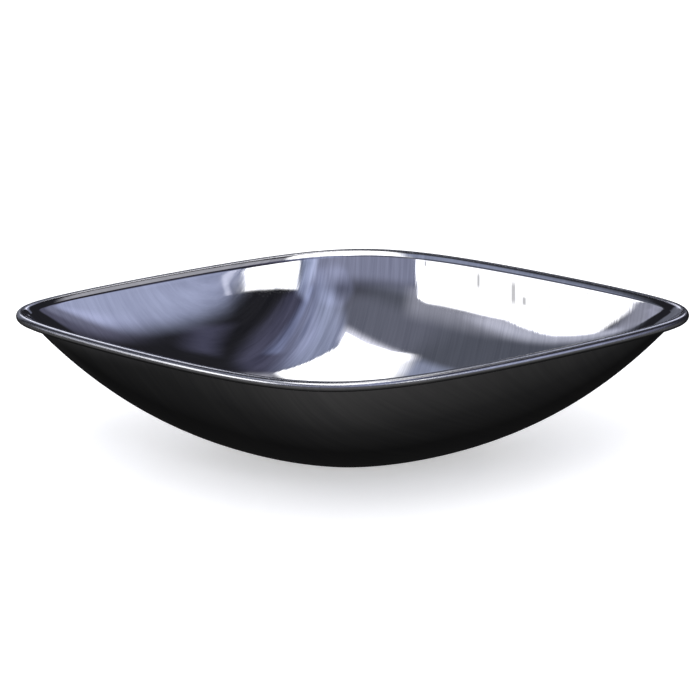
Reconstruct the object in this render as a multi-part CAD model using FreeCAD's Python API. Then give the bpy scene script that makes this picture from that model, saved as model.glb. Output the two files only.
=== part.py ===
"""Boat-shaped steel dish: one pressed sheet with a flared, rolled rim closed round a wire ring.

Frame: millimetres, +Z up, the long side along X, origin at the centre of the flat base's underside.
"""
import FreeCAD, Part
import math
import os

# Driving dimensions, millimetres and degrees.
LENGTH = 300.0            # tip to tip, over the rolled rim
WIDTH = 168.0             # across the middle, over the rolled rim
HEIGHT = 67.0             # from the flat base to the top of the rolled rim
SHEET = 0.7               # sheet thickness
BEAD_RADIUS = 2.2         # outer radius of the rolled rim
WIRE_CLEARANCE = 0.05     # radial gap between the wire and the curl round it
FLANK_ROUNDING = 44.3     # softens the corner between the two halves of each long side
TIP_ROUNDING = 13.0       # softens the two pointed ends
KEEL_POWER = 1.731        # larger values keep the keel line level for longer
KEEL_FULLNESS = 0.457     # fills the keel line out towards the tips
SECTION_HALF_ANGLE = 68.0   # larger values make the walls steeper, across the middle
BASE_CUT = 3.1            # the flat base lies this far above the hull's own lowest point
BASE_BLEND = 2.0          # height over which the hull turns into the flat base
LIP_RISE = 2.3            # height of the lip between the wall and the bead
LIP_LEAN = 45.0           # how far the lip leans out from upright
BEND_RADIUS = 2.5         # of the bend between the wall and the lip
SIDE_LEAN = 15.0          # how far the wall leans out below the lip, along the sides
TIP_LEAN = 41.0           # the same, at the two tips
CURL_SWEEP = 300.0        # angle that the sheet turns through round the wire

# Modelling density.
STATIONS = 96             # points of each contour
WALL_LEVELS = 18          # contours from the flat base to the rim
CURL_LEVELS = 16          # contours round the bead
BEND_LEVELS = 4           # contours round the bend between the wall and the lip

WIRE_RADIUS = BEAD_RADIUS - SHEET - WIRE_CLEARANCE
BEAD_Z = HEIGHT - BEAD_RADIUS
MOUTH_Z = BEAD_Z + BEAD_RADIUS * math.sin(math.radians(LIP_LEAN)) - LIP_RISE
HULL_DEPTH = MOUTH_Z - SHEET + BASE_CUT   # the hull's depth under its mouth, before the flat base


def lip_point(wall_lean, step, sunk=0.0):
    """Place on the lip, out and up from the mouth: step 0 to 1 is the bend, 1 to 2 the straight flare.

    A sunk place lies that deep in the sheet, seen from the bowl's side.
    """
    first = math.radians(wall_lean)
    full = math.radians(LIP_LEAN)
    lean = first + min(step, 1.0) * (full - first)
    out = BEND_RADIUS * (math.cos(first) - math.cos(lean))
    up = BEND_RADIUS * (math.sin(lean) - math.sin(first))
    flare = (LIP_RISE - up) * max(step - 1.0, 0.0)
    out += flare * math.tan(full) + sunk * math.cos(lean)
    up += flare - sunk * math.sin(lean)
    return out, up


def bead_reach(wall_lean):
    """Plan distance from the mouth to the middle of the bead."""
    return lip_point(wall_lean, 2.0)[0] + BEAD_RADIUS * math.cos(math.radians(LIP_LEAN))


# The mouth is where the wall ends and the lip begins.
HALF_LENGTH = LENGTH / 2 - BEAD_RADIUS - bead_reach(TIP_LEAN)
HALF_WIDTH = WIDTH / 2 - BEAD_RADIUS - bead_reach(SIDE_LEAN)


def outline_scales():
    """The two scale factors that make the mouth's outline pass through its ends and its middle."""
    end_x = math.hypot(HALF_LENGTH, FLANK_ROUNDING)
    mid_y = math.hypot(HALF_WIDTH, TIP_ROUNDING)
    det = end_x * mid_y - TIP_ROUNDING * FLANK_ROUNDING
    return det / (mid_y - TIP_ROUNDING), det / (end_x - FLANK_ROUNDING)


SCALE_X, SCALE_Y = outline_scales()


def mouth_half_width(x):
    """Half width of the mouth at x: a diamond with rounded corners."""
    part = SCALE_Y * (1.0 - math.hypot(x, FLANK_ROUNDING) / SCALE_X)
    return math.sqrt(max(part * part - TIP_ROUNDING * TIP_ROUNDING, 0.0))


def keel_depth(x):
    """Depth of the keel line under the mouth at x."""
    out = abs(x / HALF_LENGTH) ** KEEL_POWER
    return HULL_DEPTH * (1.0 - out) * (1.0 + KEEL_FULLNESS * out)


def keel_reach(depth):
    """How far along the length, as a share of the half length, the keel is that deep."""
    slack = 1.0 - KEEL_FULLNESS
    root = math.sqrt(slack * slack + 4.0 * KEEL_FULLNESS * (1.0 - depth / HULL_DEPTH))
    return ((root - slack) / (2.0 * KEEL_FULLNESS)) ** (1.0 / KEEL_POWER)


def hull_point(angle, depth):
    """Point of the bowl's inner skin at a station angle and a depth under the mouth."""
    x = HALF_LENGTH * keel_reach(depth) * math.cos(angle)
    keel = keel_depth(x)
    edge = math.cos(math.radians(SECTION_HALF_ANGLE))
    share = depth / keel if keel > depth else 1.0
    cosine = edge + share * (1.0 - edge)
    sine = math.sqrt(max(1.0 - cosine * cosine, 0.0)) / math.sqrt(1.0 - edge * edge)
    side = 1.0 if math.sin(angle) >= 0.0 else -1.0
    return x, side * mouth_half_width(x) * sine


def wall_depths():
    """Depths of the contours from the flat base's edge up to the mouth, with each one's height."""
    base_depth = HULL_DEPTH - BASE_CUT
    levels = []
    for i in range(WALL_LEVELS + 1):
        rise = base_depth * (i / WALL_LEVELS) ** 2.2
        if rise < 2 * BASE_BLEND:
            hull_rise = -BASE_BLEND + 2 * math.sqrt(BASE_BLEND * rise / 2)
            height = (hull_rise + BASE_BLEND) ** 2 / (4 * BASE_BLEND)
            levels.append((base_depth - hull_rise, SHEET + height))
        else:
            levels.append((base_depth - rise, SHEET + rise))
    return levels


def normal_2d(points, i):
    """Outward unit normal of a closed contour at point i."""
    before = points[i - 1]
    after = points[(i + 1) % len(points)]
    dx = after[0] - before[0]
    dy = after[1] - before[1]
    size = math.hypot(dx, dy)
    return dy / size, -dx / size


def station_angles():
    return [2 * math.pi * i / STATIONS for i in range(STATIONS)]


MOUTH = [hull_point(angle, 0.0) for angle in station_angles()]
MOUTH_NORMALS = [normal_2d(MOUTH, i) for i in range(STATIONS)]
WALL_LEANS = [SIDE_LEAN + (TIP_LEAN - SIDE_LEAN) * abs(x / HALF_LENGTH) ** 40 for x, y in MOUTH]


def inner_wall():
    """Contours of the bowl's inner skin, from the base to the mouth."""
    contours = []
    for depth, z in wall_depths():
        contours.append([(*hull_point(angle, depth), z) for angle in station_angles()])
    return contours


def rim_ring(places):
    """Contour beside the mouth: one place, out and up, for each station."""
    ring = []
    for (x, y), (nx, ny), (out, up) in zip(MOUTH, MOUTH_NORMALS, places):
        ring.append((x + out * nx, y + out * ny, MOUTH_Z + up))
    return ring


def lip_ring(step, sunk=0.0):
    """Contour of the lip, from the mouth at step 0 to the bead at step 2."""
    return rim_ring([lip_point(lean, step, sunk) for lean in WALL_LEANS])


def bead_ring(radius, turn):
    """Contour round the rim at an angle of the bead: 0 is its inner side, 90 its top."""
    back = radius * math.cos(math.radians(turn))
    up = BEAD_Z - MOUTH_Z + radius * math.sin(math.radians(turn))
    return rim_ring([(bead_reach(lean) - back, up) for lean in WALL_LEANS])


def outer_wall(inner):
    """The same contours moved out through the sheet, square to the skin."""
    contours = []
    for k, contour in enumerate(inner):
        if k == 0:
            contours.append([(x, y, z - SHEET) for x, y, z in contour])
            continue
        if k == len(inner) - 1:
            contours.append(lip_ring(0.0, SHEET))
            continue
        moved = []
        for i, point in enumerate(contour):
            along = FreeCAD.Vector(*contour[(i + 1) % STATIONS]) - FreeCAD.Vector(*contour[i - 1])
            up = FreeCAD.Vector(*inner[k + 1][i]) - FreeCAD.Vector(*inner[k - 1][i])
            normal = along.cross(up).normalize()
            moved.append(tuple(FreeCAD.Vector(*point) + normal * SHEET))
        contours.append(moved)
    return contours


def closed_curve(points):
    """Smooth closed curve through the points, with the same parameters for every contour."""
    curve = Part.BSplineCurve()
    steps = [float(i) for i in range(len(points) + 1)]
    curve.interpolate(Points=[FreeCAD.Vector(*p) for p in points], PeriodicFlag=True, Parameters=steps)
    return Part.Wire([curve.toShape()])


def skin(contours, ruled=False):
    """Faces of one smooth skin through the contours."""
    return Part.makeLoft([closed_curve(c) for c in contours], False, ruled, False).Faces


def lip(sunk):
    """One skin of the lip: the bend out of the wall, then the straight flare."""
    bend = [lip_ring(i / BEND_LEVELS, sunk) for i in range(BEND_LEVELS + 1)]
    return skin(bend) + skin([bend[-1], lip_ring(2.0, sunk)], ruled=True)


def curl(radius):
    """One skin of the bead, from the lip over the top and under to the sheet's hidden edge."""
    turns = [LIP_LEAN + CURL_SWEEP * i / CURL_LEVELS for i in range(CURL_LEVELS + 1)]
    return skin([bead_ring(radius, turn) for turn in turns])


def dish_shell():
    """The pressed sheet: bowl, flat base, lip and the curl round the wire, as one thin solid."""
    inner = inner_wall()
    outer = outer_wall(inner)
    faces = skin(inner) + skin(outer) + lip(0.0) + lip(SHEET)
    faces += curl(BEAD_RADIUS) + curl(BEAD_RADIUS - SHEET)
    end = LIP_LEAN + CURL_SWEEP
    faces += skin([bead_ring(BEAD_RADIUS, end), bead_ring(BEAD_RADIUS - SHEET, end)], ruled=True)
    faces += [Part.Face(closed_curve(inner[0])), Part.Face(closed_curve(outer[0]))]
    shell = Part.makeShell(faces)
    shell.sewShape()
    return Part.makeSolid(shell)


def rim_wire():
    """The wire ring inside the curl."""
    centre = bead_ring(0.0, 0.0)
    path = closed_curve(centre)
    start = FreeCAD.Vector(*centre[0])
    profile = Part.Wire([Part.makeCircle(WIRE_RADIUS, start, FreeCAD.Vector(0, 1, 0))])
    return path.makePipeShell([profile], True, True)


PARTS = {
    "dish_shell": dish_shell,
    "rim_wire": rim_wire,
}


def main():
    os.makedirs("parts", exist_ok=True)
    for name, make in PARTS.items():
        solid = make()
        print(name, solid.ShapeType, "valid", solid.isValid(), "volume", round(solid.Volume, 1), solid.BoundBox)
        solid.exportStep(f"parts/{name}.step")


main()
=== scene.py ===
"""Boat-shaped polished steel dish with a rolled rim: its fine mesh, its steel and a small studio."""

import math

import bpy
import numpy as np
from mathutils import Matrix, Vector

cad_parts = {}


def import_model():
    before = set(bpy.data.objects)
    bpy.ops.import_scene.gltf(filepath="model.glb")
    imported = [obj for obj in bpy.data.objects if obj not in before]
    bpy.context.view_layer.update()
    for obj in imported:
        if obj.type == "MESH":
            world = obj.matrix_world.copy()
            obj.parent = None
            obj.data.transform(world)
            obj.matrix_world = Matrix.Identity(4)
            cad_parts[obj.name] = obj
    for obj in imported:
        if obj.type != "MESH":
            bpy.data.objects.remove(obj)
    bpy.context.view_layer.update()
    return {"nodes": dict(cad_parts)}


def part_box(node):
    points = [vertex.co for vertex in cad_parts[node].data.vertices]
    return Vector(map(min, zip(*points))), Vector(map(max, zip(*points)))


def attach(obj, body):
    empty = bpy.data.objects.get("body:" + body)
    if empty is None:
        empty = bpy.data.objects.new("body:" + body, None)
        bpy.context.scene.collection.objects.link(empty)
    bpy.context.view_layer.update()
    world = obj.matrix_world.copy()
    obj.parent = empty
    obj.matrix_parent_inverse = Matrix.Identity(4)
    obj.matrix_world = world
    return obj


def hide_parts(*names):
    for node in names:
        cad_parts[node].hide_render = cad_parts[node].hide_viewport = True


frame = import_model()

MM = 0.001

# The dish, in metres. Its length, width and height come from the CAD node.
LOW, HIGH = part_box("dish_shell")
SHEET = 0.7 * MM
BEAD_RADIUS = 2.2 * MM
FLANK_ROUNDING = 44.3 * MM
TIP_ROUNDING = 13.0 * MM
KEEL_POWER = 1.731
KEEL_FULLNESS = 0.457
SECTION_HALF_ANGLE = math.radians(68.0)
BASE_CUT = 3.1 * MM
BASE_BLEND = 2.0 * MM
LIP_RISE = 2.3 * MM
LIP_LEAN = math.radians(45.0)
BEND_RADIUS = 2.5 * MM
SIDE_LEAN = math.radians(15.0)
TIP_LEAN = math.radians(41.0)
CURL_SWEEP = math.radians(300.0)

BEAD_Z = HIGH.z - BEAD_RADIUS
MOUTH_Z = BEAD_Z + BEAD_RADIUS * math.sin(LIP_LEAN) - LIP_RISE
HULL_DEPTH = MOUTH_Z - SHEET + BASE_CUT

# Mesh density.
STATIONS = 512            # points round each contour
WALL_ROWS = 80            # rows from the flat base to the mouth
BEND_ROWS = 5             # rows round the bend between the wall and the lip
FLARE_ROWS = 3            # rows up the straight lip
CURL_ROWS = 24            # rows round the bead
BASE_RINGS = 5            # rings of the flat base
OUTER_STEP = 2            # the outer skin keeps one row in so many

ROW_BUNCHING = 1.8        # above 1, rows crowd towards the flat base
TIP_LEAN_POWER = 40       # the wall leans out as at the tips only close to them

# Waves that the press left in the wall: waves round the dish, height in millimetres, phase.
RIM_WAVES = ((41, 0.008, 0.4), (29, 0.010, 2.1), (17, 0.014, 4.0))
BROAD_WAVES = ((7, 0.03, 1.0), (11, 0.02, 3.0))
RIM_WAVE_START = 3 * MM
RIM_WAVE_REACH = 12 * MM

# The polishing strokes are arcs round this point of the plan.
STROKE_CENTRE = (-100 * MM, 110 * MM, 0.0)

# The polishing wheel bit deeper round this place of the back wall; there its marks go into the colour
# together with painted highlight streaks.
WHEEL_MARKS_AND_SHEEN_PLACE = (-36 * MM, 60 * MM, 40 * MM)
WHEEL_MARKS_AND_SHEEN_REACH = 30 * MM
WHEEL_MARKS_AND_SHEEN_FADE = 35 * MM
WHEEL_MARKS_AND_SHEEN_CONTRAST = 3.0

# Painted reflection streaks: lines painted into the colour down the middle of the back wall from the rim.
PAINTED_STREAKS_PER_METRE = 420.0
PAINTED_STREAKS_HALF_WIDTH = 36 * MM
PAINTED_STREAKS_SIDE_FADE = 30 * MM
PAINTED_STREAKS_FOOT = 50 * MM
PAINTED_STREAKS_FOOT_FADE = 14 * MM
PAINTED_STREAKS_CONTRAST = 0.9

# Painted reflection: short upright darker marks painted on the back wall inside the left window's
# reflection: x, z, half width and half height.
PAINTED_REFLECTION_MARKS = (
    (56.5 * MM, 59.0 * MM, 0.6 * MM, 3.2 * MM),
    (73.0 * MM, 56.3 * MM, 1.0 * MM, 5.0 * MM),
    (78.0 * MM, 53.7 * MM, 0.8 * MM, 1.8 * MM),
    (31.0 * MM, 63.0 * MM, 0.5 * MM, 1.2 * MM),
)
PAINTED_REFLECTION_MARK_DARKENING = 0.62

# The steel's surface.
STROKE_ROUGHNESS = (0.02, 0.055)
CLOUD_ROUGHNESS = 0.008           # slow change of the roughness, either way
ROLLED_ROUGHNESS = 0.18           # added on the bead, which the rolling scuffed
WIDE_STROKE_RELIEF = 0.012 * MM
FINE_STROKE_RELIEF = 0.005 * MM

# Lights, as radiance. The fill lights the floor only; the lamps are what the steel mirrors.
FILL_RADIANCE = 0.7
FILL_SIZE = 5.0
FILL_HEIGHT = 2.4
FLOOR_GLOW = 0.42
LAMP_COLOUR = (2.3, 2.3, 2.3)

# The floor and backdrop: radius and height of each ring, in metres.
STAGE_PROFILE = ((1.5, 0.0), (3.0, 0.0), (4.5, 0.15), (5.4, 0.8), (5.8, 2.0), (5.9, 4.0))
STAGE_SIDES = 96

# The camera: degrees, metres, and its lens on a 36 mm sensor.
CAMERA_AZIMUTH = 5.529
CAMERA_ELEVATION = 21.0
CAMERA_DISTANCE = 0.87793
CAMERA_AIM = Vector((0.00042, 0.0, -0.01714))     # from the middle of the mouth
CAMERA_ROLL = -1.91
CAMERA_LENS = 101.56


# ---------------------------------------------------------------- the sheet's shape

def lip_point(wall_lean, step):
    """Place on the lip, out and up from the mouth: step 0 to 1 is the bend, 1 to 2 the straight flare."""
    lean = wall_lean + min(step, 1.0) * (LIP_LEAN - wall_lean)
    out = BEND_RADIUS * (np.cos(wall_lean) - np.cos(lean))
    up = BEND_RADIUS * (np.sin(lean) - np.sin(wall_lean))
    flare = (LIP_RISE - up) * max(step - 1.0, 0.0)
    return out + flare * math.tan(LIP_LEAN), up + flare


def bead_reach(wall_lean):
    """Plan distance from the mouth to the middle of the bead."""
    return lip_point(wall_lean, 2.0)[0] + BEAD_RADIUS * math.cos(LIP_LEAN)


HALF_LENGTH = HIGH.x - BEAD_RADIUS - bead_reach(TIP_LEAN)
HALF_WIDTH = HIGH.y - BEAD_RADIUS - bead_reach(SIDE_LEAN)


def outline_scales():
    """The two scale factors that make the mouth's outline pass through its ends and its middle."""
    end_x = math.hypot(HALF_LENGTH, FLANK_ROUNDING)
    mid_y = math.hypot(HALF_WIDTH, TIP_ROUNDING)
    det = end_x * mid_y - TIP_ROUNDING * FLANK_ROUNDING
    return det / (mid_y - TIP_ROUNDING), det / (end_x - FLANK_ROUNDING)


SCALE_X, SCALE_Y = outline_scales()


def mouth_half_width(x):
    """Half width of the mouth at x: a diamond with rounded corners."""
    part = SCALE_Y * (1.0 - np.hypot(x, FLANK_ROUNDING) / SCALE_X)
    return np.sqrt(np.maximum(part * part - TIP_ROUNDING**2, 0.0))


def keel_depth(x):
    """Depth of the keel line under the mouth at x."""
    out = np.abs(x / HALF_LENGTH) ** KEEL_POWER
    return HULL_DEPTH * (1.0 - out) * (1.0 + KEEL_FULLNESS * out)


def keel_reach(depth):
    """How far along the length, as a share of the half length, the keel is that deep."""
    slack = 1.0 - KEEL_FULLNESS
    root = np.sqrt(slack**2 + 4.0 * KEEL_FULLNESS * (1.0 - depth / HULL_DEPTH))
    return ((root - slack) / (2.0 * KEEL_FULLNESS)) ** (1.0 / KEEL_POWER)


def hull(angle, depth):
    """Plan position of the inner skin at station angles and depths under the mouth."""
    x = HALF_LENGTH * keel_reach(depth) * np.cos(angle)
    keel = keel_depth(x)
    edge = math.cos(SECTION_HALF_ANGLE)
    share = np.where(keel > depth, depth / np.maximum(keel, 1e-9), 1.0)
    cosine = edge + share * (1.0 - edge)
    sine = np.sqrt(np.maximum(1.0 - cosine**2, 0.0)) / math.sin(SECTION_HALF_ANGLE)
    return x, np.sign(np.sin(angle)) * mouth_half_width(x) * sine


def inner_wall(angle):
    """Rows of the inner skin, from the edge of the flat base up to the mouth."""
    base_depth = HULL_DEPTH - BASE_CUT
    rise = (base_depth * np.linspace(0.0, 1.0, WALL_ROWS) ** ROW_BUNCHING)[:, None]
    blended = -BASE_BLEND + 2 * np.sqrt(BASE_BLEND * np.minimum(rise, 2 * BASE_BLEND) / 2)
    low = rise < 2 * BASE_BLEND
    hull_rise = np.where(low, blended, rise)
    height = np.where(low, (hull_rise + BASE_BLEND) ** 2 / (4 * BASE_BLEND), rise)
    x, y = hull(angle[None, :], np.maximum(base_depth - hull_rise, 0.0))
    z = np.broadcast_to(SHEET + height, x.shape)
    return np.stack([x, y, z], axis=-1)


def plan_normals(ring):
    """Outward unit normals, in plan, of a closed contour."""
    along = np.roll(ring, -1, axis=0) - np.roll(ring, 1, axis=0)
    normal = np.stack([along[:, 1], -along[:, 0]], axis=-1)
    return normal / np.linalg.norm(normal, axis=-1, keepdims=True)


def rim(mouth):
    """Rows of the lip, then of the bead, over the top and under to the sheet's hidden edge."""
    normals = plan_normals(mouth[:, :2])
    leans = SIDE_LEAN + (TIP_LEAN - SIDE_LEAN) * np.abs(mouth[:, 0] / HALF_LENGTH) ** TIP_LEAN_POWER
    reach = bead_reach(leans)
    places = []
    for step in np.linspace(0.0, 1.0, BEND_ROWS + 1)[1:]:
        places.append(lip_point(leans, step))
    for step in np.linspace(1.0, 2.0, FLARE_ROWS + 1)[1:]:
        places.append(lip_point(leans, step))
    for turn in np.linspace(LIP_LEAN, LIP_LEAN + CURL_SWEEP, CURL_ROWS + 1)[1:]:
        up = BEAD_Z - MOUTH_Z + BEAD_RADIUS * math.sin(turn)
        places.append((reach - BEAD_RADIUS * math.cos(turn), np.full(len(mouth), up)))
    rows = []
    for out, up in places:
        plan = mouth[:, :2] + normals * out[:, None]
        rows.append(np.column_stack([plan, MOUTH_Z + up]))
    return np.array(rows)


def skin_normals(rows):
    """Unit normals of a skin of rows, on the bowl's inner side."""
    along = np.roll(rows, -1, axis=1) - np.roll(rows, 1, axis=1)
    up = np.gradient(rows, axis=0)
    normal = np.cross(up, along)
    return normal / np.linalg.norm(normal, axis=-1, keepdims=True)


def press_waves(rows):
    """Slight waves that the press and the rim rolling left in the wall, in metres."""
    mouth = rows[-1]
    steps = np.linalg.norm(np.roll(mouth, -1, axis=0) - mouth, axis=-1)
    run = np.concatenate([[0.0], np.cumsum(steps)[:-1]])
    lap = steps.sum()
    depth = MOUTH_Z - rows[..., 2]
    near_rim = np.exp(-depth / RIM_WAVE_REACH) * (1.0 - np.exp(-depth / RIM_WAVE_START))
    broad = np.sin(np.pi * np.clip(depth / (HULL_DEPTH - BASE_CUT), 0.0, 1.0)) ** 2
    waves = np.zeros(rows.shape[:2])
    for count, size, phase in RIM_WAVES:
        waves += near_rim * size * np.sin(2 * np.pi * count * run / lap + phase)
    for count, size, phase in BROAD_WAVES:
        waves += broad * size * np.sin(2 * np.pi * count * run / lap + phase)
    return waves * MM


def dish_rows():
    """The inner and the outer skin of the whole sheet, as rows of points."""
    angle = np.linspace(0.0, 2 * np.pi, STATIONS, endpoint=False)
    wall = inner_wall(angle)
    wall += skin_normals(wall) * press_waves(wall)[..., None]
    inner = np.concatenate([wall, rim(wall[-1])])
    normals = skin_normals(inner)
    normals[0] = (0.0, 0.0, 1.0)
    outer = inner - normals * SHEET
    return inner, outer


def base_disc(ring):
    """Rings that fill the flat base inside a contour, and the base's middle point."""
    centre = ring.mean(axis=0)
    shares = np.linspace(0.0, 1.0, BASE_RINGS + 1)[1:-1]
    return np.array([centre + (ring - centre) * s for s in shares]), centre


def grid_faces(rows):
    """Quads between rows of vertex numbers; every row is closed."""
    faces = []
    for low, high in zip(rows[:-1], rows[1:]):
        for i in range(STATIONS):
            j = (i + 1) % STATIONS
            faces.append((low[i], low[j], high[j], high[i]))
    return faces


def make_dish():
    """The whole pressed sheet as one closed mesh."""
    inner, outer = dish_rows()
    last = len(outer) - 1
    keep = sorted(set(range(0, last, OUTER_STEP)) | {last})
    inner_rings, inner_centre = base_disc(inner[0])
    outer_rings, outer_centre = base_disc(outer[0])
    loop = np.concatenate([inner_rings, inner, outer[keep][::-1], outer_rings[::-1]])
    points = np.concatenate([loop.reshape(-1, 3), [inner_centre, outer_centre]])
    numbers = np.arange(len(loop) * STATIONS).reshape(len(loop), STATIONS)
    faces = grid_faces(numbers)
    inner_middle = len(points) - 2
    outer_middle = len(points) - 1
    for i in range(STATIONS):
        j = (i + 1) % STATIONS
        faces.append((inner_middle, numbers[0][j], numbers[0][i]))
        faces.append((outer_middle, numbers[-1][i], numbers[-1][j]))
    mesh = bpy.data.meshes.new("dish_sheet")
    mesh.from_pydata(points.tolist(), [], faces)
    mesh.validate()
    mesh.shade_smooth()
    rolled = np.zeros(len(points), np.float32)
    first_curl = len(inner_rings) + len(inner) - CURL_ROWS
    rolled[first_curl * STATIONS : (first_curl + CURL_ROWS) * STATIONS] = 1.0
    mesh.attributes.new("rolled", "FLOAT", "POINT").data.foreach_set("value", rolled)
    dish = bpy.data.objects.new("dish_sheet", mesh)
    bpy.context.scene.collection.objects.link(dish)
    return dish


# ---------------------------------------------------------------- materials

class Nodes:
    """Small helper that adds and joins the nodes of one shader."""

    def __init__(self, tree):
        self.tree = tree

    def add(self, kind, **settings):
        node = self.tree.nodes.new(kind)
        for key, value in settings.items():
            setattr(node, key, value)
        return node

    def put(self, socket, value):
        if isinstance(value, bpy.types.NodeSocket):
            self.tree.links.new(value, socket)
        else:
            socket.default_value = value

    def math(self, operation, *values):
        node = self.add("ShaderNodeMath", operation=operation)
        for socket, value in zip(node.inputs, values):
            self.put(socket, value)
        return node.outputs[0]

    def vector(self, operation, *values):
        node = self.add("ShaderNodeVectorMath", operation=operation)
        for socket, value in zip(node.inputs, values):
            self.put(socket, value)
        return node.outputs["Value" if operation in ("LENGTH", "DOT_PRODUCT") else "Vector"]

    def scaled(self, vector, amount):
        node = self.add("ShaderNodeVectorMath", operation="SCALE")
        self.put(node.inputs["Vector"], vector)
        self.put(node.inputs["Scale"], amount)
        return node.outputs["Vector"]

    def combine(self, x, y, z):
        node = self.add("ShaderNodeCombineXYZ")
        for socket, value in zip(node.inputs, (x, y, z)):
            self.put(socket, value)
        return node.outputs[0]

    def parts(self, vector):
        node = self.add("ShaderNodeSeparateXYZ")
        self.put(node.inputs[0], vector)
        return node.outputs

    def noise(self, vector, scale, detail=3.0, roughness=0.55):
        node = self.add("ShaderNodeTexNoise")
        self.put(node.inputs["Vector"], vector)
        node.inputs["Scale"].default_value = scale
        node.inputs["Detail"].default_value = detail
        node.inputs["Roughness"].default_value = roughness
        return node.outputs[0]

    def span(self, value, low, high):
        """A 0 to 1 value moved to the range low to high."""
        node = self.add("ShaderNodeMapRange")
        self.put(node.inputs["Value"], value)
        node.inputs["To Min"].default_value = low
        node.inputs["To Max"].default_value = high
        return node.outputs[0]

    def rise(self, value, at, soft):
        """0 below, 1 above, with a smooth step round a place; a negative soft turns it over."""
        node = self.add("ShaderNodeMapRange", interpolation_type="SMOOTHSTEP")
        self.put(node.inputs["Value"], value)
        node.inputs["From Min"].default_value = at - soft / 2
        node.inputs["From Max"].default_value = at + soft / 2
        return node.outputs[0]

    def bump(self, height, distance, normal=None):
        """Relief that far in metres, on top of an earlier normal if there is one."""
        node = self.add("ShaderNodeBump")
        node.inputs["Strength"].default_value = 1.0
        node.inputs["Distance"].default_value = distance
        self.put(node.inputs["Height"], height)
        if normal is not None:
            self.put(node.inputs["Normal"], normal)
        return node.outputs[0]

    def ramp(self, value, stops):
        node = self.add("ShaderNodeValToRGB")
        self.put(node.inputs[0], value)
        elements = node.color_ramp.elements
        while len(elements) < len(stops):
            elements.new(0.5)
        for element, (position, colour) in zip(elements, stops):
            element.position = position
            element.color = (*colour, 1.0)
        return node.outputs[0]


def new_material(name):
    """A material with its node helper and its principled shader."""
    material = bpy.data.materials.new(name)
    material.use_nodes = True
    return material, Nodes(material.node_tree), material.node_tree.nodes["Principled BSDF"]


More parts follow.
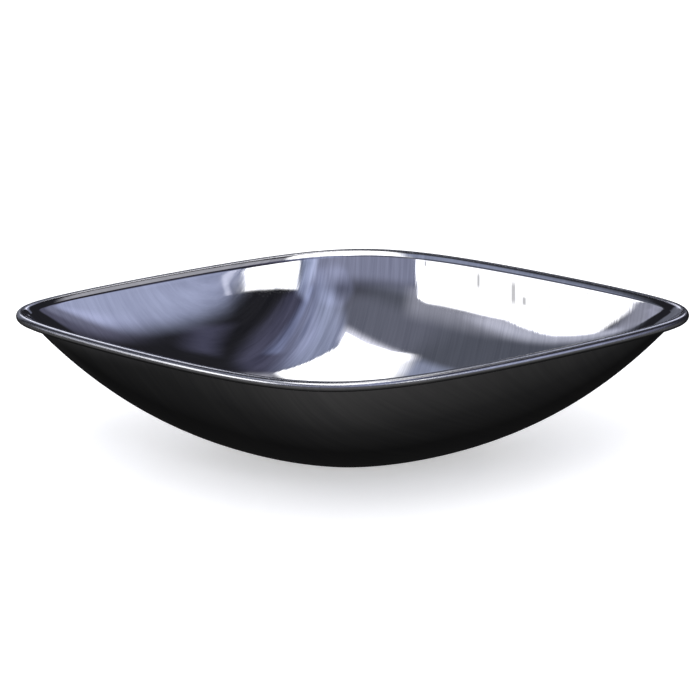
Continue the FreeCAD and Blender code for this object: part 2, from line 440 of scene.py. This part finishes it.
def polished_steel():
    """Stainless sheet with polishing strokes that run in arcs across the dish, and painted highlight
    streaks, painted reflection streaks and painted dark reflection marks in its colour on the back wall.
    """
    material, n, shader = new_material("polished_sheet")
    place = n.add("ShaderNodeTexCoord").outputs["Object"]
    flat = n.vector("MULTIPLY", place, (1.0, 1.0, 0.0))
    arm = n.vector("SUBTRACT", flat, STROKE_CENTRE)
    east, north, _ = n.parts(arm)
    radius = n.vector("LENGTH", arm)
    turn = n.math("ARCTAN2", north, east)

    def strokes(across, along, detail):
        """Noise drawn out along the strokes; across is in lines per metre."""
        spread = n.combine(n.math("MULTIPLY", radius, across), n.math("MULTIPLY", turn, along), 0.0)
        return n.noise(spread, 1.0, detail=detail, roughness=0.6)

    fine = strokes(900.0, 6.0, 3.0)
    wide = strokes(210.0, 3.0, 3.0)
    cloud = n.noise(place, 22.0, detail=2.0)
    mixed = n.math("ADD", n.math("MULTIPLY", fine, 0.5), n.math("MULTIPLY", wide, 0.5))

    # Where the polishing wheel bit deeper: its marks go into the colour, partly as real marks and partly
    # as painted highlight streaks.
    x, y, z = n.parts(place)
    wheel_distance = n.vector("LENGTH", n.vector("SUBTRACT", place, WHEEL_MARKS_AND_SHEEN_PLACE))
    wheel_marks_and_sheen_mask = n.rise(wheel_distance, WHEEL_MARKS_AND_SHEEN_REACH, -WHEEL_MARKS_AND_SHEEN_FADE)
    # The wheel's marks in the colour, strong enough to be partly painted highlight streaks.
    wheel_marks_and_painted_sheen = n.math("SUBTRACT", strokes(330.0, 1.4, 4.0), 0.5)
    wheel_marks_and_painted_sheen = n.math("MULTIPLY", wheel_marks_and_painted_sheen, n.math("MULTIPLY", wheel_marks_and_sheen_mask, WHEEL_MARKS_AND_SHEEN_CONTRAST))

    # Painted reflection streaks: lines down from the rim, painted into the colour on the bowl's side of
    # the back wall only.
    spread = n.combine(n.math("MULTIPLY", x, PAINTED_STREAKS_PER_METRE), n.math("MULTIPLY", z, 9.0), 0.0)
    painted_reflection_streaks = n.math("SUBTRACT", n.noise(spread, 1.0, detail=3.0, roughness=0.6), 0.5)
    _, facing, _ = n.parts(n.add("ShaderNodeTexCoord").outputs["Normal"])
    back = n.math("MULTIPLY", n.rise(y, 0.0, 0.01), n.rise(facing, -0.1, -0.2))
    # Where the painted reflection streaks lie: high up the back wall, near its middle.
    high = n.rise(z, PAINTED_STREAKS_FOOT, PAINTED_STREAKS_FOOT_FADE)
    high = n.math("MULTIPLY", high, n.rise(n.math("ABSOLUTE", x), PAINTED_STREAKS_HALF_WIDTH, -PAINTED_STREAKS_SIDE_FADE))
    high = n.math("MULTIPLY", high, back)
    painted_reflection_streaks = n.math("MULTIPLY", painted_reflection_streaks, n.math("MULTIPLY", high, PAINTED_STREAKS_CONTRAST))
    # Stroke grain plus the wheel's marks with painted highlight streaks plus the painted reflection
    # streaks.
    grain_and_painted_sheen = n.math("ADD", mixed, n.math("ADD", wheel_marks_and_painted_sheen, painted_reflection_streaks))

    # Painted reflection: darker upright marks inside the left window's reflection on the back wall.
    painted_mark_mask = 0.0
    for mark_x, mark_z, width, height in PAINTED_REFLECTION_MARKS:
        across = n.rise(n.math("ABSOLUTE", n.math("SUBTRACT", x, mark_x)), width, -width)
        along = n.rise(n.math("ABSOLUTE", n.math("SUBTRACT", z, mark_z)), height, -height)
        painted_mark_mask = n.math("MAXIMUM", n.math("MULTIPLY", across, along), painted_mark_mask)
    painted_mark_mask = n.math("MULTIPLY", painted_mark_mask, back)

    tangent = n.combine(n.math("MULTIPLY", north, -1.0), east, 0.0)
    n.put(shader.inputs["Tangent"], tangent)
    shader.inputs["Anisotropic"].default_value = 0.5
    shader.inputs["Metallic"].default_value = 1.0
    rough = n.span(mixed, *STROKE_ROUGHNESS)
    rough = n.math("ADD", rough, n.span(cloud, -CLOUD_ROUGHNESS, CLOUD_ROUGHNESS))
    rolled = n.add("ShaderNodeAttribute", attribute_name="rolled").outputs["Fac"]
    rough = n.math("MULTIPLY_ADD", rolled, ROLLED_ROUGHNESS, rough)
    n.put(shader.inputs["Roughness"], rough)
    # The colour: stroke grain, with painted highlight streaks and painted reflection streaks on the back
    # wall.
    colour = n.ramp(grain_and_painted_sheen, (
        (0.0, (0.38, 0.39, 0.43)),
        (0.5, (0.62, 0.62, 0.64)),
        (1.0, (0.86, 0.86, 0.88)),
    ))
    # Darkens the colour at the painted reflection marks.
    painted_mark_lightness = n.math("MULTIPLY_ADD", painted_mark_mask, -PAINTED_REFLECTION_MARK_DARKENING, 1.0)
    n.put(shader.inputs["Base Color"], n.scaled(colour, painted_mark_lightness))

    relief = n.bump(wide, WIDE_STROKE_RELIEF)
    relief = n.bump(fine, FINE_STROKE_RELIEF, relief)
    n.put(shader.inputs["Normal"], relief)
    return material


def drawn_wire_steel():
    """Plain drawn wire with lines along it."""
    material, n, shader = new_material("wire_steel")
    place = n.add("ShaderNodeTexCoord").outputs["Object"]
    grain = n.noise(n.vector("MULTIPLY", place, (40.0, 40.0, 2500.0)), 1.0)
    n.put(shader.inputs["Roughness"], n.span(grain, 0.25, 0.4))
    shader.inputs["Metallic"].default_value = 1.0
    shader.inputs["Base Color"].default_value = (0.5, 0.5, 0.5, 1.0)
    return material


def pale_floor():
    """Matt, nearly white floor that glows a little, so that it stays even."""
    material, n, shader = new_material("pale_floor")
    place = n.add("ShaderNodeTexCoord").outputs["Object"]
    n.put(shader.inputs["Roughness"], n.span(n.noise(place, 3.0), 0.6, 0.7))
    shader.inputs["Base Color"].default_value = (0.86, 0.86, 0.86, 1.0)
    shader.inputs["Emission Color"].default_value = (1.0, 1.0, 1.0, 1.0)
    shader.inputs["Emission Strength"].default_value = FLOOR_GLOW
    return material


# ---------------------------------------------------------------- studio

def direction(azimuth, elevation):
    """Unit vector; azimuth 0 is the front, -Y, and 90 is +X."""
    a = math.radians(azimuth)
    e = math.radians(elevation)
    return Vector((math.sin(a) * math.cos(e), -math.cos(a) * math.cos(e), math.sin(e)))


def studio():
    """A wide soft box overhead that lights the floor; the steel mirrors the room instead."""
    light = bpy.data.lights.new("floor_fill", "AREA")
    light.size = FILL_SIZE
    light.energy = FILL_RADIANCE * math.pi * light.size**2
    box = bpy.data.objects.new("floor_fill", light)
    box.location.z = FILL_HEIGHT
    bpy.context.scene.collection.objects.link(box)
    box.visible_camera = False
    box.visible_glossy = False


def world():
    """Dim room with a ceiling light and two windows, made of soft-edged panes of light."""
    sky = bpy.data.worlds.new("room")
    bpy.context.scene.world = sky
    sky.use_nodes = True
    n = Nodes(sky.node_tree)
    looking = n.add("ShaderNodeTexCoord").outputs["Generated"]
    _, y, z = n.parts(looking)
    front = n.math("MULTIPLY", y, -1.0)
    elevation = n.math("DEGREES", n.math("ARCSINE", z))

    def cover(softness, *corners):
        """1 inside a convex pane whose corners are given by azimuth and elevation, 0 outside.

        softness is the width of the soft edge in degrees: one number, or one for each side.
        """
        ends = [direction(*corner) for corner in corners]
        inside = sum(ends, Vector())
        if not isinstance(softness, tuple):
            softness = (softness,) * len(ends)
        weight = 1.0
        for k, soft in enumerate(softness):
            square = ends[k].cross(ends[(k + 1) % len(ends)]).normalized()
            if square.dot(inside) < 0:
                square = -square
            distance = n.vector("DOT_PRODUCT", looking, tuple(square))
            side = n.rise(distance, 0.0, math.sin(math.radians(soft)))
            weight = n.math("MULTIPLY", weight, side)
        return weight

    def pane(colour, softness, *corners):
        """A pane of that radiance."""
        return n.scaled(colour, cover(softness, *corners))

    def lamp(*covers):
        """One lamp made of several panes that may overlap."""
        weight = covers[0]
        for other in covers[1:]:
            weight = n.math("MAXIMUM", weight, other)
        return n.scaled(LAMP_COLOUR, weight)

    ceiling_light = lamp(
        cover((1.2, 1.2, 2, 8, 8), (-48, 54), (12, 58), (54, 64), (87, 80), (-87, 78)),
        cover(1.2, (-25, 58), (6, 51), (12, 59)),
        cover(1.5, (-48, 54), (-24, 57), (6, 51), (13, 59)),
    )
    left_window = lamp(
        cover(1.2, (-60, 2), (-38, 9), (-40, 26), (-43, 27), (-57, 22)),
        cover((1.2, 1.2, 2.5, 3, 2), (-60, 2), (-57, 22), (-64, 26), (-72, 25), (-65, 2)),
    )
    right_window = lamp(cover((1.0, 1.0, 0.3, 1.0), (32, 24), (31, 11), (43.6, 6), (43.0, 17)))
    # The wall to the left: a dim field above the window, light spilled beside it, and the corner.
    left_side = [
        pane((0.10, 0.11, 0.14), (8, 8, 8, 4, 14, 9, 6, 6, 8),
             (-91, 26), (-70, 22), (-53, 23), (-38, 23), (-17, 27),
             (10, 33), (10, 51), (-4, 74), (-95, 71)),
        pane((0.27, 0.27, 0.31), (8, 10, 8, 4, 4), (-36, 22), (-36, 35), (-60, 29), (-54, 19), (-44, 21)),
        pane((0.53, 0.54, 0.63), (6, 7, 7, 5, 3), (-82, 26), (-72, 30), (-59, 30), (-53, 25), (-56, 19)),
        pane((0.36, 0.37, 0.45), (3, 3, 5, 5, 3), (-87, 7), (-65, -2), (-63, 5), (-76, 26), (-87, 26)),
        pane((0.13, 0.13, 0.17), 4, (-87, 17), (-75, 8), (-73, 12), (-87, 24)),
        pane((0.24, 0.27, 0.38), 6, (-86, 49), (-53, 55), (-56, 67), (-84, 62)),
    ]
    # The wall between the windows, and the ceiling near the light.
    middle = [
        pane((1.0, 1.0, 1.1), (6, 6, 5, 5, 5), (-52, 55), (-20, 54), (6, 48), (11, 55), (-44, 63)),
        pane((0.50, 0.50, 0.54), 5, (53, 66), (64, 59), (84, 57), (90, 67)),
        pane((0.30, 0.32, 0.45), (3, 5, 5, 5, 12, 12),
             (-44, 24), (-42, 5), (23, 8), (32, 23), (16, 28), (-18, 28)),
        pane((0.10, 0.11, 0.17), 5, (26, 17), (8, 20), (0, 30), (8, 38), (22, 34)),
        pane((0.32, 0.36, 0.52), (4, 10, 10, 8, 10, 8, 4),
             (10, 58), (6, 48), (13, 30), (24, 21), (29, 31), (49, 60), (55, 64)),
        pane((0.07, 0.07, 0.12), (6, 6, 6, 5, 8), (61, 66), (23, 48), (24, 21), (35, 24), (59, 55)),
        pane((0.06, 0.06, 0.08), 10, (-52, 32), (0, 30), (18, 34), (14, 58), (-46, 60)),
        pane((0.14, 0.17, 0.28), 3, (43, 53), (25, 25), (27, 24), (46, 51)),
    ]
    # The wall to the right, with a thin slit of light beside the window.
    right_side = [
        pane((0.60, 0.60, 0.66), 0.2, (44.1, 16.5), (44.3, 7), (45.1, 7), (44.8, 16.5)),
        pane((0.43, 0.49, 0.69), (6, 4, 4, 3), (29, 30), (23, 12), (30, 7), (32, 25)),
        pane((0.36, 0.40, 0.58), (3, 4, 4, 8, 11, 8),
             (43, 16), (41, 1), (53, -11), (68, 0), (61, 29), (45, 23)),
        pane((0.13, 0.14, 0.19), (12, 9, 6, 6, 8, 10),
             (74, 31), (54, 24), (44, 13), (50, 2), (71, 4), (78, 14)),
        pane((0.11, 0.11, 0.17), (8, 10, 8, 8, 8), (92, 36), (61, 34), (54, 19), (66, 9), (91, 20)),
        pane((0.07, 0.07, 0.12), 4, (56, 46), (46, 30), (50, 27), (58, 41)),
    ]
    # The room behind the dish: two windows in pale walls, and a bright strip of ceiling.
    behind = [
        pane((1.3, 1.3, 1.4), 2, (-160, 28), (-146, 26), (-144, 46), (-159, 50)),
        pane((1.1, 1.1, 1.2), 2, (146, 26), (160, 28), (158, 50), (144, 44)),
        pane((0.50, 0.52, 0.64), 7, (-162, 27), (-136, 27), (-118, 50), (-158, 51)),
        pane((0.17, 0.18, 0.22), 7, (-164, 0), (-116, 0), (-112, 34), (-162, 32)),
        pane((0.42, 0.45, 0.60), 8, (140, 27), (163, 27), (166, 58), (122, 58)),
        pane((0.15, 0.16, 0.20), 6, (-166, 26), (166, 26), (166, 56), (-166, 52)),
        pane((1.6, 1.6, 1.65), 5, (180, 84), (180, 60), (140, 65), (112, 78)),
    ]
    # The dark table under the dish, lighter towards the front, and its faintly lit near edge.
    below = n.ramp(n.math("MULTIPLY_ADD", front, 0.5, 0.5), (
        (0.0, (0.010, 0.010, 0.010)),
        (0.33, (0.008, 0.008, 0.008)),
        (0.5, (0.020, 0.020, 0.020)),
        (0.72, (0.060, 0.059, 0.058)),
        (1.0, (0.09, 0.09, 0.09)),
    ))
    table = n.math("MULTIPLY", n.rise(elevation, -38.0, 14.0), n.rise(elevation, 2.0, -14.0))
    table = n.math("MULTIPLY", table, n.rise(front, -0.4, 0.8))
    total = n.scaled(below, n.rise(elevation, 0.0, -12.0))
    total = n.vector("ADD", total, n.scaled((0.06, 0.06, 0.062), table))
    total = n.vector("ADD", total, n.scaled((0.022, 0.022, 0.027), n.rise(elevation, 0.0, 10.0)))
    lamps = [ceiling_light, left_window, right_window]
    for light in lamps + left_side + middle + right_side + behind:
        total = n.vector("ADD", total, light)
    n.put(sky.node_tree.nodes["Background"].inputs["Color"], total)


def stage():
    """A pale floor that turns up into a round backdrop far away."""
    points = [(0.0, 0.0, 0.0)]
    faces = []
    for radius, z in STAGE_PROFILE:
        for i in range(STAGE_SIDES):
            a = 2 * math.pi * i / STAGE_SIDES
            points.append((radius * math.cos(a), radius * math.sin(a), z))
    for i in range(STAGE_SIDES):
        j = (i + 1) % STAGE_SIDES
        faces.append((0, 1 + i, 1 + j))
        for r in range(len(STAGE_PROFILE) - 1):
            a = 1 + r * STAGE_SIDES
            b = a + STAGE_SIDES
            faces.append((a + i, b + i, b + j, a + j))
    mesh = bpy.data.meshes.new("floor")
    mesh.from_pydata(points, [], faces)
    mesh.shade_smooth()
    floor = bpy.data.objects.new("floor", mesh)
    bpy.context.scene.collection.objects.link(floor)
    floor.location.z = LOW.z
    mesh.materials.append(pale_floor())
    floor.visible_glossy = False
    floor.visible_shadow = False


def camera():
    """Looks a little down on the dish from the front, with the frame turned slightly."""
    data = bpy.data.cameras.new("camera")
    data.lens = CAMERA_LENS
    data.sensor_width = 36.0
    eye = bpy.data.objects.new("camera", data)
    bpy.context.scene.collection.objects.link(eye)
    middle = Vector((0.0, 0.0, BEAD_Z))
    place = middle + direction(CAMERA_AZIMUTH, CAMERA_ELEVATION) * CAMERA_DISTANCE
    facing = (place - middle - CAMERA_AIM).to_track_quat("Z", "Y").to_matrix()
    facing = facing @ Matrix.Rotation(math.radians(CAMERA_ROLL), 3, "Z")
    eye.matrix_world = Matrix.Translation(place) @ facing.to_4x4()
    bpy.context.scene.camera = eye


# ---------------------------------------------------------------- putting it together

camera()
stage()
studio()
world()
bpy.context.scene.view_settings.view_transform = "Standard"

dish = make_dish()
dish.data.materials.append(polished_steel())
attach(dish, "root")
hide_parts("dish_shell")

wire = frame["nodes"]["rim_wire"]
wire.data.materials.clear()
wire.data.materials.append(drawn_wire_steel())
